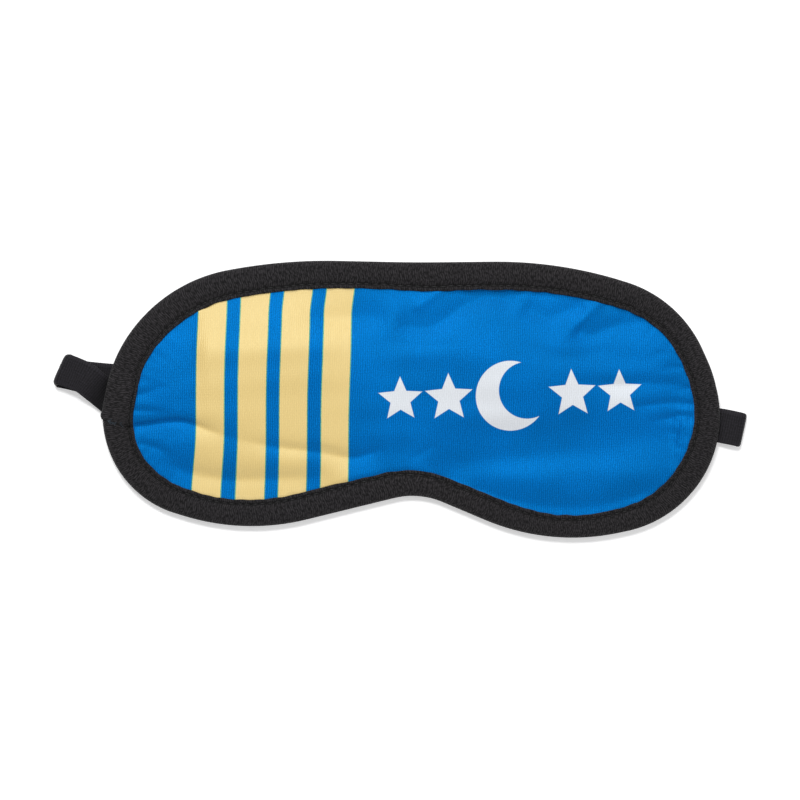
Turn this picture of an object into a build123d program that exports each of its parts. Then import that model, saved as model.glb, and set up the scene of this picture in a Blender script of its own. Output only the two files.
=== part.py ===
"""A padded sleep eye mask with a folded elastic strap, in millimetres.

The mask lies face up, with its strap folded flat underneath. +Z is up, out of the printed front. +Y is towards the
wearer's forehead, and +X towards the wearer's left. The origin is on the underside of the strap, under the middle of
the mask.
"""

import os
from math import dist

from build123d import *

# The mask's outline: the corners of a polygon, each with the radius that rounds it.
OUTLINE = [
    ((0.5, 44.0), 550),  # middle of the forehead edge, a very shallow dip
    ((47.0, 45.5), 136),
    ((86.5, 34.0), 40),
    ((97.5, 10.5), 43),
    ((108.5, -33.0), 38),
    ((46.0, -47.5), 73),
    ((3.0, -30.5), 25),  # top of the nose arch
    ((-53.0, -45.5), 75),
    ((-94.6, -33.8), 33),
    ((-100.7, -8.0), 30),
    ((-97.2, 9.5), 42),
    ((-83.0, 35.8), 50),
    ((-41.5, 44.0), 169),
]

# Cloth, foam and tape
FABRIC = 0.3  # front fabric and back lining
TAPE = 0.55  # binding tape
TAPE_LEG = 8.5  # width of the tape on the front and on the back
TAPE_ROUND = 1.0  # radius of the tape's outer fold
LAP = 0.45  # extra thickness where the tape's end laps over its start
LAP_LOW, LAP_HIGH = -9.6, 8.0  # the lap's ends, along Y, at the left side of the mask
LAP_REACH, LAP_WIDTH = -85.0, 30.0  # the lap lies to the left of this X, within this width
EDGE_INSET = 0.6  # from the tape's outer fold to the edge of the cloth and foam
FOAM_EDGE = 1.4  # foam pressed flat inside the binding
PUFF_UP, PUFF_DOWN = 1.5, 1.8  # how far the pad swells past its bound edge
PUFF_START, PUFF_FULL = 9.0, 17.0  # insets where the swelling starts and where it is full

# Elastic strap. Each fold is given by the middle of its outer edge. Both layers leave it in line, and turn at the same
# place: the upper one to its sewn end, and the lower one to lie straight across.
STRAP_WIDTH = 11.0
STRAP = 0.9  # thickness
LEFT_FOLD, RIGHT_FOLD = (-114.7, 7.3), (107.9, -8.1)
LEFT_TURN, RIGHT_TURN = (-106.1, 3.8), (99.9, -6.5)
LEFT_SEWN, RIGHT_SEWN = (-93.0, -6.2), (91.5, -5.4)
LEFT_TAB_BEND, RIGHT_TAB_BEND = 20.0, 60.0  # radii of the upper layer's turns
LEFT_RUN_BEND, RIGHT_RUN_BEND = 24.0, 80.0  # radii of the lower layer's turns
RUN_HALF = 60.0  # half the length that keeps its shape as the strap is pulled
RUN_GAP = 0.2  # between that length and each end of the strap

# Thread
THREAD_WIDTH, THREAD = 0.35, 0.25
STITCH_INSET = TAPE_LEG - 1.8
RISER = 0.4  # how far past a step the thread drops to the next level
LEFT_TACK, RIGHT_TACK = (-97.2, -3.0), (96.8, -6.1)  # middles of the bar tacks
TACK = 0.2  # thickness
TACK_STITCHES, TACK_SPAN, TACK_LENGTH = 14, 9.0, 2.0

# Heights, from the surface that the mask lies on
LEFT_TAB_Z = 1.4
LAP_BOTTOM = LEFT_TAB_Z + STRAP
TAPE_BOTTOM = LAP_BOTTOM + LAP
RIGHT_TAB_Z = TAPE_BOTTOM - STRAP
LINING_BOTTOM = TAPE_BOTTOM + TAPE
FOAM_BOTTOM = LINING_BOTTOM + FABRIC
FOAM_TOP = FOAM_BOTTOM + FOAM_EDGE
FRONT_TOP = FOAM_TOP + FABRIC
TAPE_TOP = FRONT_TOP + TAPE
LAP_TOP = TAPE_TOP + LAP


def unit(start, end):
    """The unit direction from one point to another."""
    length = dist(start, end)
    return ((end[0] - start[0]) / length, (end[1] - start[1]) / length)


def inset_corners(inset):
    """The outline's corners and radii after every side has moved inwards by inset."""
    corners, radii = [], []
    for index, (corner, radius) in enumerate(OUTLINE):
        before = unit(OUTLINE[index - 1][0], corner)
        after = unit(corner, OUTLINE[(index + 1) % len(OUTLINE)][0])
        # The corners run clockwise, so inwards is to the right of each side.
        reach = inset / (1 + before[0] * after[0] + before[1] * after[1])
        moved_x = corner[0] + reach * (before[1] + after[1])
        moved_y = corner[1] - reach * (before[0] + after[0])
        corners.append((moved_x, moved_y))
        turns_right = before[0] * after[1] - before[1] * after[0] < 0
        radii.append(radius - inset if turns_right else radius + inset)
    return corners, radii


def mask_face(inset):
    """The mask's outline, moved inwards by inset, as a flat face."""
    corners, radii = inset_corners(inset)
    with BuildSketch() as face:
        with BuildLine():
            FilletPolyline(*corners, radius=radii, close=True)
        make_face()
    return face.sketch


def slab(outline, bottom, top):
    """A flat outline given a bottom and a top height."""
    with BuildPart() as block:
        with BuildSketch(Plane.XY.offset(bottom)):
            add(outline)
        extrude(amount=top - bottom)
    return block.part


def swelling(start, full, skin):
    """The pad's swollen middle, between its start height and the height where it is full."""
    with BuildPart() as dome:
        for inset, height in ((PUFF_START + skin, start), (PUFF_FULL + skin, full)):
            with BuildSketch(Plane.XY.offset(height)):
                add(mask_face(inset))
        loft(ruled=True)
    return dome.part


def ribbon(route, bend, width=STRAP_WIDTH):
    """The flat shape of a strap along a route whose corner has a bend radius."""
    with BuildSketch() as face:
        with BuildLine():
            FilletPolyline(*route, radius=bend)
        trace(line_width=width)
    return face.sketch


def point_towards(start, end, distance):
    """The point at a distance from start, towards end."""
    direction = unit(start, end)
    return (start[0] + distance * direction[0], start[1] + distance * direction[1])


def bight(fold, towards, height):
    """The half turn that joins a strap's lower layer to the layer above, whose top is at height."""
    direction = unit(fold, towards)
    radius = height / 2
    middle = point_towards(fold, towards, radius)
    across = Vector(-direction[1], direction[0], 0)
    start = Vector(middle[0], middle[1], radius) - across * (STRAP_WIDTH / 2)
    with BuildPart() as turn:
        with BuildSketch(Plane(origin=start, x_dir=(direction[0], direction[1], 0), z_dir=across)):
            Circle(radius)
            Circle(radius - STRAP, mode=Mode.SUBTRACT)
            Rectangle(2 * radius, 2 * radius, align=(Align.MIN, Align.CENTER), mode=Mode.SUBTRACT)
        extrude(amount=STRAP_WIDTH)
    return turn.part


def stitch_ring():
    """The line of the binding's stitching, all round the mask, as a thin flat ring."""
    with BuildSketch() as ring:
        add(mask_face(STITCH_INSET - THREAD_WIDTH / 2))
        add(mask_face(STITCH_INSET + THREAD_WIDTH / 2), mode=Mode.SUBTRACT)
    return ring.sketch


def lap_zone(margin):
    """The part of the plan that the tape's lap covers, with a margin past both ends."""
    with BuildSketch() as zone:
        with Locations((LAP_REACH, LAP_LOW - margin)):
            Rectangle(LAP_WIDTH, LAP_HIGH - LAP_LOW + 2 * margin, align=(Align.MAX, Align.MIN))
    return zone.sketch


def tab_zone(route, bend):
    """The part of the plan that a strap's upper layer covers, and the same with a margin round it."""
    start, turn, sewn = route
    longer = [start, turn, point_towards(sewn, turn, -RISER)]
    return ribbon(route, bend), ribbon(longer, bend, STRAP_WIDTH + 2 * RISER)


def bar_tack(middle):
    """A tight zigzag of thread along the mask's side, across the strap sewn to it."""
    points = []
    for stitch in range(TACK_STITCHES + 1):
        side = TACK_LENGTH / 2 if stitch % 2 else -TACK_LENGTH / 2
        points.append((middle[0] + side, middle[1] + (stitch / TACK_STITCHES - 0.5) * TACK_SPAN))
    with BuildSketch() as zigzag:
        with BuildLine():
            Polyline(*points)
        trace(line_width=THREAD_WIDTH)
    return zigzag.sketch


# The pad is foam between a printed front fabric and a plain back lining. The three have one edge, hidden in the
# binding, and swell together inside it, so their faces meet.
with BuildPart() as foam_pad:
    add(slab(mask_face(EDGE_INSET), FOAM_BOTTOM, FOAM_TOP))
    add(swelling(FOAM_TOP, FOAM_TOP + PUFF_UP, FABRIC))
    add(swelling(FOAM_BOTTOM, FOAM_BOTTOM - PUFF_DOWN, FABRIC))

with BuildPart() as front_fabric:
    add(slab(mask_face(EDGE_INSET), FOAM_TOP, FRONT_TOP))
    add(swelling(FRONT_TOP, FRONT_TOP + PUFF_UP, 0))
    add(foam_pad.part, mode=Mode.SUBTRACT)

with BuildPart() as back_lining:
    add(slab(mask_face(EDGE_INSET), LINING_BOTTOM, FOAM_BOTTOM))
    add(swelling(LINING_BOTTOM, LINING_BOTTOM - PUFF_DOWN, 0))
    add(foam_pad.part, mode=Mode.SUBTRACT)

# The binding tape wraps round the edge of the pad, and its end laps over its start at the left side.
with BuildPart() as tape_lap:
    add(slab(mask_face(-LAP), LAP_BOTTOM, LAP_TOP))
    rims = tape_lap.edges().group_by(Axis.Z)
    fillet(rims[0] + rims[-1], TAPE_ROUND)
    add(slab(lap_zone(0), LAP_BOTTOM, LAP_TOP), mode=Mode.INTERSECT)

with BuildPart() as binding_tape:
    add(slab(mask_face(0), TAPE_BOTTOM, TAPE_TOP))
    rims = binding_tape.edges().group_by(Axis.Z)
    fillet(rims[0] + rims[-1], TAPE_ROUND)
    add(tape_lap.part)
    add(slab(mask_face(TAPE_LEG), LAP_BOTTOM, LAP_TOP), mode=Mode.SUBTRACT)
    add(slab(mask_face(EDGE_INSET), LINING_BOTTOM, FRONT_TOP), mode=Mode.SUBTRACT)

# The strap is one length of flat elastic. Each end is sewn flat under the binding, runs out past the mask's side and
# folds back on itself, and the rest of it lies straight underneath.
left_start = point_towards(LEFT_FOLD, LEFT_TURN, LAP_BOTTOM / 2)
right_start = point_towards(RIGHT_FOLD, RIGHT_TURN, TAPE_BOTTOM / 2)
left_tab, right_tab = [left_start, LEFT_TURN, LEFT_SEWN], [right_start, RIGHT_TURN, RIGHT_SEWN]
run_slope = unit(LEFT_TURN, RIGHT_TURN)


def run_point(distance):
    """The point on the strap's straight run whose distance along X from the mask's middle is given."""
    along = (distance - LEFT_TURN[0]) / run_slope[0]
    return (distance, LEFT_TURN[1] + along * run_slope[1])


with BuildPart() as strap_left_end:
    add(slab(ribbon(left_tab, LEFT_TAB_BEND), LEFT_TAB_Z, LAP_BOTTOM))
    add(bight(LEFT_FOLD, LEFT_TURN, LAP_BOTTOM))
    lower_layer = [left_start, LEFT_TURN, run_point(-RUN_HALF - RUN_GAP)]
    add(slab(ribbon(lower_layer, LEFT_RUN_BEND), 0, STRAP))

with BuildPart() as strap_right_end:
    add(slab(ribbon(right_tab, RIGHT_TAB_BEND), RIGHT_TAB_Z, TAPE_BOTTOM))
    add(bight(RIGHT_FOLD, RIGHT_TURN, TAPE_BOTTOM))
    lower_layer = [right_start, RIGHT_TURN, run_point(RUN_HALF + RUN_GAP)]
    add(slab(ribbon(lower_layer, RIGHT_RUN_BEND), 0, STRAP))

with BuildPart() as strap_run:
    with BuildSketch():
        with BuildLine():
            Line(run_point(-RUN_HALF), run_point(RUN_HALF))
        trace(line_width=STRAP_WIDTH)
    extrude(amount=STRAP)

# Thread: a bar tack under each sewn end, and a line of stitching round the binding, front and back.
with BuildPart() as left_bartack:
    add(slab(bar_tack(LEFT_TACK), LEFT_TAB_Z - TACK, LEFT_TAB_Z))

with BuildPart() as right_bartack:
    add(slab(bar_tack(RIGHT_TACK), RIGHT_TAB_Z - TACK, RIGHT_TAB_Z))

# Over the lap, the needle thread climbs one step and comes down again.
with BuildPart() as needle_thread:
    add(slab(stitch_ring() - lap_zone(0), TAPE_TOP, TAPE_TOP + THREAD))
    add(slab(stitch_ring() & lap_zone(RISER), LAP_TOP, LAP_TOP + THREAD))
    add(slab(stitch_ring() & (lap_zone(RISER) - lap_zone(0)), TAPE_TOP, LAP_TOP + THREAD))

# The bobbin thread passes under the lap and under both sewn ends of the strap, so it catches them.
under_left, left_margin = tab_zone(left_tab, LEFT_TAB_BEND)
under_right, right_margin = tab_zone(right_tab, RIGHT_TAB_BEND)
plain_stitches = stitch_ring() - lap_zone(0) - under_left - under_right
lap_stitches = (stitch_ring() & lap_zone(RISER)) - under_left
lap_step = (stitch_ring() & (lap_zone(RISER) - lap_zone(0))) - under_left
with BuildPart() as bobbin_thread:
    add(slab(plain_stitches, TAPE_BOTTOM - THREAD, TAPE_BOTTOM))
    add(slab(lap_stitches, LAP_BOTTOM - THREAD, LAP_BOTTOM))
    add(slab(lap_step, LAP_BOTTOM - THREAD, TAPE_BOTTOM))
    add(slab(stitch_ring() & left_margin, LEFT_TAB_Z - THREAD, LEFT_TAB_Z))
    add(slab((stitch_ring() & left_margin) - under_left, LEFT_TAB_Z - THREAD, LAP_BOTTOM))
    add(slab(stitch_ring() & right_margin, RIGHT_TAB_Z - THREAD, RIGHT_TAB_Z))
    add(slab((stitch_ring() & right_margin) - under_right, RIGHT_TAB_Z - THREAD, TAPE_BOTTOM))

os.makedirs("parts", exist_ok=True)
pieces = {
    "front_fabric": front_fabric,
    "foam_pad": foam_pad,
    "back_lining": back_lining,
    "binding_tape": binding_tape,
    "needle_thread": needle_thread,
    "bobbin_thread": bobbin_thread,
    "left_bartack": left_bartack,
    "right_bartack": right_bartack,
    "strap_left_end": strap_left_end,
    "strap_run": strap_run,
    "strap_right_end": strap_right_end,
}
for node, piece in pieces.items():
    piece.part.label = node
    export_step(piece.part, f"parts/{node}.step")
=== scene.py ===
"""The looks of a padded sleep eye mask: cover, foam, lining, bound edge, stitching and a folded elastic strap.

Lengths are in millimetres until a mesh is made. +X runs across the mask, +Y towards the forehead edge and +Z out of
the printed front, with the floor at zero.
"""

import math

import bpy
import numpy as np
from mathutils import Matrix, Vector


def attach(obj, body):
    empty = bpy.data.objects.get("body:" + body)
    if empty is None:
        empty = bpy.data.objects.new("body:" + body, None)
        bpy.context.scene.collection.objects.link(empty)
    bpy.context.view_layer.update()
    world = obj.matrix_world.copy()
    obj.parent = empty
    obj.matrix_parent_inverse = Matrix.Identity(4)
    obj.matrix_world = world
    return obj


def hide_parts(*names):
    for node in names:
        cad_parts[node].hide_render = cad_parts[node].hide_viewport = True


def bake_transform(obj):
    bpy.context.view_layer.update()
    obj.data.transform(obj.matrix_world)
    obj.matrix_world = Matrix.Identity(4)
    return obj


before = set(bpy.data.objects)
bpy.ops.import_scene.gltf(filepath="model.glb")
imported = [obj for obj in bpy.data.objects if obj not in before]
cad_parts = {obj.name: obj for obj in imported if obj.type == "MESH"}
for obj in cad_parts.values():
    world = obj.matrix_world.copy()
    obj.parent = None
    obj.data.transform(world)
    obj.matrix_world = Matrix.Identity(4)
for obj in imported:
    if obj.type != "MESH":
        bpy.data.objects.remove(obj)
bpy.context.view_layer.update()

MM = 0.001

# The mask's outline: the corners of a polygon, clockwise from the middle of the forehead edge, each with its radius.
OUTLINE = [
    ((0.5, 44.0), 550), ((47.0, 45.5), 136), ((86.5, 34.0), 40), ((97.5, 10.5), 43), ((108.5, -33.0), 38),
    ((46.0, -47.5), 73), ((3.0, -30.5), 25), ((-53.0, -45.5), 75), ((-94.6, -33.8), 33), ((-100.7, -8.0), 30),
    ((-97.2, 9.5), 42), ((-83.0, 35.8), 50), ((-41.5, 44.0), 169),
]
STATIONS = 1000  # places along the outline where the binding is shaped

TAPE_LEG = 8.5  # width of the binding on each side
STITCH_INSET = 7.0  # from the mask's outer edge to the binding's stitching
TAPE_MIDDLE = 4.4  # height of the binding's outer edge, halfway up it
COVER_EDGE, LINING_EDGE = 5.25, 3.35  # heights of the cover and the lining inside the binding
PUFF_UP, PUFF_DOWN = 1.1, 1.9  # how far each swells past that
DROOP = 1.0  # how far the mask's edges hang below its middle, which lies on the strap
FLOOR_GAP = 0.3  # least height of the lining above the floor
FOLD_ROUND = 0.25  # radius at the bottom of a crease

STRAP_WIDTH, STRAP = 11.0, 0.9  # STRAP is its thickness
RUN_LEFT, RUN_RIGHT = (-106.1, 3.8), (99.9, -6.5)  # the ends of the strap's run under the mask
RUN_HALF = 60.0  # how far the strap's own run reaches to each side of the middle

rng = np.random.default_rng(11)


def smooth(value, low, high):
    """0 below low, 1 above high, and an even curve between."""
    t = np.clip((np.asarray(value, float) - low) / (high - low), 0.0, 1.0)
    return t * t * (3 - 2 * t)


def bell(value, middle, width):
    """A smooth bump, 1 at the middle."""
    return np.exp(-(((np.asarray(value, float) - middle) / width) ** 2))


def fading(value, start, reach, power):
    """1 up to start, and fading towards 0 over about a reach past it."""
    return np.exp(-((np.clip(value - start, 0, 60) / reach) ** power))


def unit(rows):
    """Each row scaled to length 1."""
    return rows / np.linalg.norm(rows, axis=1)[:, None]


def headings(line):
    """The direction of a line at each of its points."""
    return unit(np.gradient(line, axis=0))


def length_along(points):
    """Distances along a line of points."""
    return np.concatenate([[0], np.cumsum(np.linalg.norm(np.diff(np.asarray(points, float), axis=0), axis=1))])


def even_points(points, count):
    """The same line in count even steps, with the distance of each point along it."""
    along = length_along(points)
    wanted = np.linspace(0, along[-1], count + 1)
    return np.stack([np.interp(wanted, along, points[:, k]) for k in (0, 1)], axis=1), wanted


def rounded_corner(before, corner, after, radius, step, least):
    """Points round a corner between two others, about a step apart and in at least so many steps."""
    before, corner, after = (np.array(point, float) for point in (before, corner, after))
    arrive, leave = corner - before, after - corner
    arrive, leave = arrive / np.linalg.norm(arrive), leave / np.linalg.norm(leave)
    turn = math.atan2(arrive[0] * leave[1] - arrive[1] * leave[0], arrive @ leave)
    start = corner - arrive * radius * math.tan(abs(turn) / 2)
    centre = start + np.array([-arrive[1], arrive[0]]) * math.copysign(radius, turn)
    x, y = start - centre
    steps = max(least, int(radius * abs(turn) / step))
    points = []
    for k in range(steps + 1):
        c, s = math.cos(turn * k / steps), math.sin(turn * k / steps)
        points.append(centre + np.array([x * c - y * s, x * s + y * c]))
    return points


# ---- the outline


def rounded_outline():
    """Even points along the outline, with the inward normal and the distance along it at each."""
    points = []
    for index, (corner, radius) in enumerate(OUTLINE):
        before, after = OUTLINE[index - 1][0], OUTLINE[(index + 1) % len(OUTLINE)][0]
        points += rounded_corner(before, corner, after, radius, 0.5, 4)
    even, along = even_points(np.array(points + points[:1]), STATIONS)
    even = even[:-1]
    heading = unit(np.roll(even, -1, axis=0) - np.roll(even, 1, axis=0))
    return even, np.stack([heading[:, 1], -heading[:, 0]], axis=1), along


EDGE, INWARD, ALONG = rounded_outline()
PERIMETER = ALONG[-1]


def nearest(points, line):
    """For each point, the nearest of a line's points, the way there from it, and the square of that distance."""
    gap = ((points[:, None, :] - line[None, :, :]) ** 2).sum(axis=2)
    near = gap.argmin(axis=1)
    return near, points - line[near], gap.min(axis=1)


def from_edge(points):
    """For each point, its distance inwards from the outline and the place along the outline nearest to it."""
    inset, place = np.empty(len(points)), np.empty(len(points))
    for start in range(0, len(points), 1500):
        part = slice(start, start + 1500)
        near, away, gap = nearest(points[part], EDGE)
        side = (away * INWARD[near]).sum(axis=1)
        inset[part] = np.sqrt(gap) * np.sign(side)
        place[part] = ALONG[near]
    return inset, place


def place_of(x, y):
    """The distance along the outline of the point nearest to a position."""
    return from_edge(np.array([[x, y]], float))[1][0]


def outline_at(place):
    """The outline's points and inward normals at places along it."""
    return [
        np.stack([np.interp(place, ALONG[:-1], value[:, k], period=PERIMETER) for k in (0, 1)], axis=-1)
        for value in (EDGE, INWARD)
    ]


def round_trip(place, middle):
    """How far along the outline a place is from a middle, the short way round."""
    gap = np.abs(place - middle)
    return np.minimum(gap, PERIMETER - gap)


# How much wider than usual the binding's front is, at places along the mask's edge.
LEG_PLACES = [
    (4, 44, 1.1), (17, 45, 0.6), (29, 45, 0.8), (54, 43, 0.5), (78, 35, 0.15), (87, 28, -0.35), (97, 11, -0.4),
    (100, -6, -0.1), (97, -19, 0.4), (91, -29, 0.2), (70, -42, -0.6), (58, -44, -1.2), (45, -44, -1.2),
    (33, -42, -0.5), (21, -38, -0.35), (10, -33, -0.7), (-3, -32, 0.3), (-15, -35, 0.6), (-39, -41, 0.35),
    (-64, -42, -0.1), (-87, -33, 0.75), (-95, -24, 0.6), (-100, -13, 1.3), (-100, 0, 1.75), (-96, 12, 1.0),
    (-81, 31, 1.3), (-58, 41, 1.0), (-40, 44, 0.8), (-20, 44, 0.3), (-8, 44, 0.4),
]
LEG_BLUR = 20  # stations on each side over which that width is evened out


def leg_growth():
    """That width at each station."""
    places, widths = np.array([(place_of(x, y), extra) for x, y, extra in LEG_PLACES]).T
    raw = np.interp(ALONG[:-1], places, widths, period=PERIMETER)
    window = np.hanning(2 * LEG_BLUR + 1)
    padded = np.concatenate([raw[-LEG_BLUR:], raw, raw[:LEG_BLUR]])
    return np.convolve(padded, window / window.sum(), mode="valid")


LEG_GROWTH = leg_growth()


def growth_at(place):
    """That width at places along the outline."""
    return np.interp(place, ALONG[:-1], LEG_GROWTH, period=PERIMETER)


# ---- heights


def run_y(x):
    """The strap's middle line under the mask."""
    return RUN_LEFT[1] + (x - RUN_LEFT[0]) * (RUN_RIGHT[1] - RUN_LEFT[1]) / (RUN_RIGHT[0] - RUN_LEFT[0])


def droop(x, y):
    """How far the mask hangs below the line where it lies on its strap."""
    return DROOP * smooth(np.abs(y - run_y(x)), 9, 38)


def edge_lift(place, inset):
    """The slow rise and fall of the bound edge, fading towards the middle."""
    return 0.18 * np.sin(place / PERIMETER * math.tau * 5 + 1.0) * (1 - smooth(inset, 9, 30))


WAVES = [
    (rng.uniform(0, math.tau), math.tau / rng.uniform(24, 58), rng.uniform(0, math.tau), rng.uniform(0.04, 0.10))
    for _ in range(9)
]


def billows(x, y):
    """Broad, low unevenness of the padding."""
    total = np.zeros_like(x)
    for heading, rate, phase, height in WAVES:
        total += height * np.sin((x * math.cos(heading) + y * math.sin(heading)) * rate + phase)
    return total


def curve_through(points, count=60):
    """A smooth line through a few points."""
    p = np.array(points, float)
    p = np.vstack([2 * p[0] - p[1], p, 2 * p[-1] - p[-2]])
    line = []
    for k in range(1, len(p) - 2):
        for t in np.linspace(0, 1, count // (len(p) - 3), endpoint=False):
            a, b, c, d = p[k - 1 : k + 3]
            bend, twist = 2 * a - 5 * b + 4 * c - d, 3 * b - a - 3 * c + d
            line.append(0.5 * (2 * b + (c - a) * t + bend * t**2 + twist * t**3))
    return np.array(line + [p[-2]])


def fold(x, y, points, height, above, below, sharp, rise, fall):
    """A ridge, or with a negative height a valley, along a line written from left to right. above and below are the
    distances over which it levels out on its two sides, sharp is 1 for a crease and 2 for a soft swell, and rise and
    fall are the shares of its length over which it grows and fades."""
    line = curve_through(points)
    heading = headings(line)
    share = np.linspace(0, 1, len(line))
    reach = 3.5 * max(above, below)
    near = (x > line[:, 0].min() - reach) & (x < line[:, 0].max() + reach)
    near &= (y > line[:, 1].min() - reach) & (y < line[:, 1].max() + reach)
    k, away, gap = nearest(np.stack([x[near], y[near]], axis=1), line)
    upper = heading[k, 0] * away[:, 1] - heading[k, 1] * away[:, 0] > 0
    distance = np.sqrt(gap + FOLD_ROUND**2) - FOLD_ROUND
    profile = np.exp(-((distance / np.where(upper, above, below)) ** sharp))
    total = np.zeros_like(x)
    total[near] = height * profile * smooth(share[k], 0, rise) * (1 - smooth(share[k], 1 - fall, 1))
    return total


# Folds in the cover: (points, height, above, below, sharp, rise, fall).
FOLDS = [
    # The long crease from the left end towards the nose.
    ([(-91, -11.2), (-85, -10.5), (-79, -9.4), (-73, -9.4), (-66, -11.6), (-57, -14.4), (-44, -16.6), (-31, -17.9)],
     -0.95, 2.4, 4.6, 1.25, 0.02, 0.5),
    ([(-91, -11.2), (-85, -10.5), (-79, -9.4), (-73, -9.4), (-66, -11.6), (-60, -13.6)],
     -1.0, 0.7, 1.0, 1.1, 0.02, 0.5),
    ([(-57, -14.4), (-44, -16.6), (-31, -17.9), (-19.5, -19.6), (-13.5, -18.3), (-7, -15.3)],
     -1.15, 1.7, 2.8, 1.15, 0.3, 0.22),
    ([(-36, -15.0), (-27, -16.8), (-20, -18.0)], -0.2, 0.8, 0.8, 1.2, 0.4, 0.4),
    ([(-93, -6.5), (-80, -5.6), (-66, -7.0)], 0.75, 15, 4.5, 1.7, 0.05, 0.4),
    # The crease under it.
    ([(-88.5, -16.3), (-82, -18.0), (-75.5, -21.3)], -0.6, 1.0, 1.8, 1.15, 0.02, 0.5),
    ([(-82, -21), (-76, -24), (-70, -26), (-58.5, -27.6), (-44.5, -27.0), (-31, -26.3), (-22, -25)],
     -1.35, 3.2, 4.2, 1.4, 0.2, 0.35),
    # Short gathers at the left end.
    ([(-91, -1.3), (-86, 0.0), (-82, 1.5), (-77.5, 2.7)], -0.75, 1.1, 2.2, 1.15, 0.02, 0.7),
    ([(-91.5, -5.8), (-85, -5.8), (-80, -6.0), (-76, -6.2)], -0.7, 1.0, 2.2, 1.15, 0.02, 0.7),
    # Gathers and wedges under the forehead edge.
    ([(-42, 24), (-30, 25), (-20.5, 25.5), (-13, 25.5), (-5, 26)], -1.0, 5.0, 3.8, 1.6, 0.35, 0.3),
    ([(-8, 24.5), (-2, 23), (5, 22.8), (10.5, 25.6), (14, 28.5), (18.5, 31.3), (24.5, 33), (30.5, 32.7), (38, 31)],
     -1.15, 4.4, 3.2, 1.3, 0.15, 0.15),
    ([(-1, 27.5), (2.5, 30.5), (6.5, 33.5), (9, 36)], 0.45, 1.5, 1.5, 1.5, 0.3, 0.1),
    ([(34, 31), (39, 28.4), (44, 27.0), (48, 28.3), (53, 30), (57, 31)], -0.85, 3.6, 2.6, 1.4, 0.15, 0.2),
    ([(52, 24), (55, 21.8), (58.5, 21.8), (62, 23.5), (68, 25.5), (75, 26), (82, 23)],
     -1.0, 4.2, 3.0, 1.4, 0.12, 0.3),
    ([(52.5, 23.5), (56, 28), (59.5, 31.5), (61, 34)], 0.45, 1.8, 1.6, 1.5, 0.2, 0.2),
    ([(10, 34.6), (20, 35.0), (30, 35.2), (40, 34.6), (50, 33.5)], -0.4, 1.0, 1.6, 1.2, 0.2, 0.2),
    ([(-12, 18.5), (-2, 17.5), (4, 17), (10, 17.5), (17, 18.5)], -0.15, 0.9, 1.1, 1.3, 0.3, 0.3),
    ([(32, 20), (40, 16.5), (46, 14.6), (52, 14.4), (58, 15.8), (64, 17.6), (74, 19)], -0.4, 3.2, 3.0, 1.6, 0.2, 0.3),
    # The padding's broad crest above the middle.
    ([(-72, 13), (-60, 13.5), (-40, 14), (-20, 14), (-8, 14)], 1.5, 9, 19, 1.7, 0.15, 0.4),
    ([(-30, 14), (-10, 14), (10, 13.5), (30, 12.5), (50, 12), (66, 12)], 0.9, 10, 20, 1.7, 0.25, 0.3),
    # Gathers at the right end.
    ([(26, 11), (38, 9.5), (48, 8.0), (58, 6.2), (64.5, 5.8), (70, 5.9), (74.5, 6.7), (79.5, 6.5), (85, 6.1),
      (91, 4.6)], -0.95, 2.2, 4.6, 1.2, 0.65, 0.02),
    ([(70, -1.3), (73, -1.1), (79, -0.2), (85, 0.5), (91.5, 0.1)], -0.85, 0.9, 1.7, 1.1, 0.5, 0.02),
    ([(76, -6.5), (78.5, -5.7), (84, -4.4), (87.5, -3.7), (91.8, -4.1)], -0.85, 0.9, 1.8, 1.1, 0.6, 0.02),
    ([(79, 10.2), (85, 11.8), (90.5, 11.4)], -0.5, 0.8, 1.2, 1.15, 0.6, 0.02),
    ([(75, 15.0), (82, 16.4), (88.5, 15.5)], -0.2, 0.8, 1.2, 1.15, 0.6, 0.02),
    # The two long valleys of the right lobe.
    ([(2, -21.5), (11.5, -20.5), (24, -18.0), (43, -15.5), (61.5, -13.5), (80, -10.5), (90, -9.5)],
     -2.1, 10.0, 8.0, 2.0, 0.3, 0.12),
    ([(18, -29.5), (23, -30.5), (37, -33), (49.5, -34), (62, -33), (74.5, -29.5), (82, -26)],
     -0.8, 3.4, 2.8, 1.5, 0.2, 0.2),
    # Where the cloth rises to the nose arch, and faint streaks beside it.
    ([(-30, -29.5), (-14, -27.5), (0, -27), (14, -28)], 1.2, 6.5, 5.0, 1.8, 0.25, 0.25),
    ([(-2, -20.7), (4.5, -17.4), (9.5, -14.1)], -0.2, 0.8, 0.8, 1.2, 0.4, 0.4),
]

# Faint level ripples all over the cover: wavelength, height, slant and phase.
RIPPLE_RANGES = [(8, 21), (0.03, 0.06), (-0.22, 0.22), (0, math.tau)]
RIPPLES = [[rng.uniform(*limits) for limits in RIPPLE_RANGES] for _ in range(6)]


def ripples(x, y):
    """Soft level wrinkles that come and go."""
    total = np.zeros_like(x)
    for k, (length, size, slant, phase) in enumerate(RIPPLES):
        patch = 0.5 + 0.5 * np.sin(x / (9.0 + 3 * k) + 1.7 * k + 0.8 * np.sin(y / 11.0 + k))
        meander = 1.6 * np.sin(x / 13.0 + 2.1 * k)
        total += size * patch * np.sin((y + slant * x + meander) * math.tau / length + phase)
    return total


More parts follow.
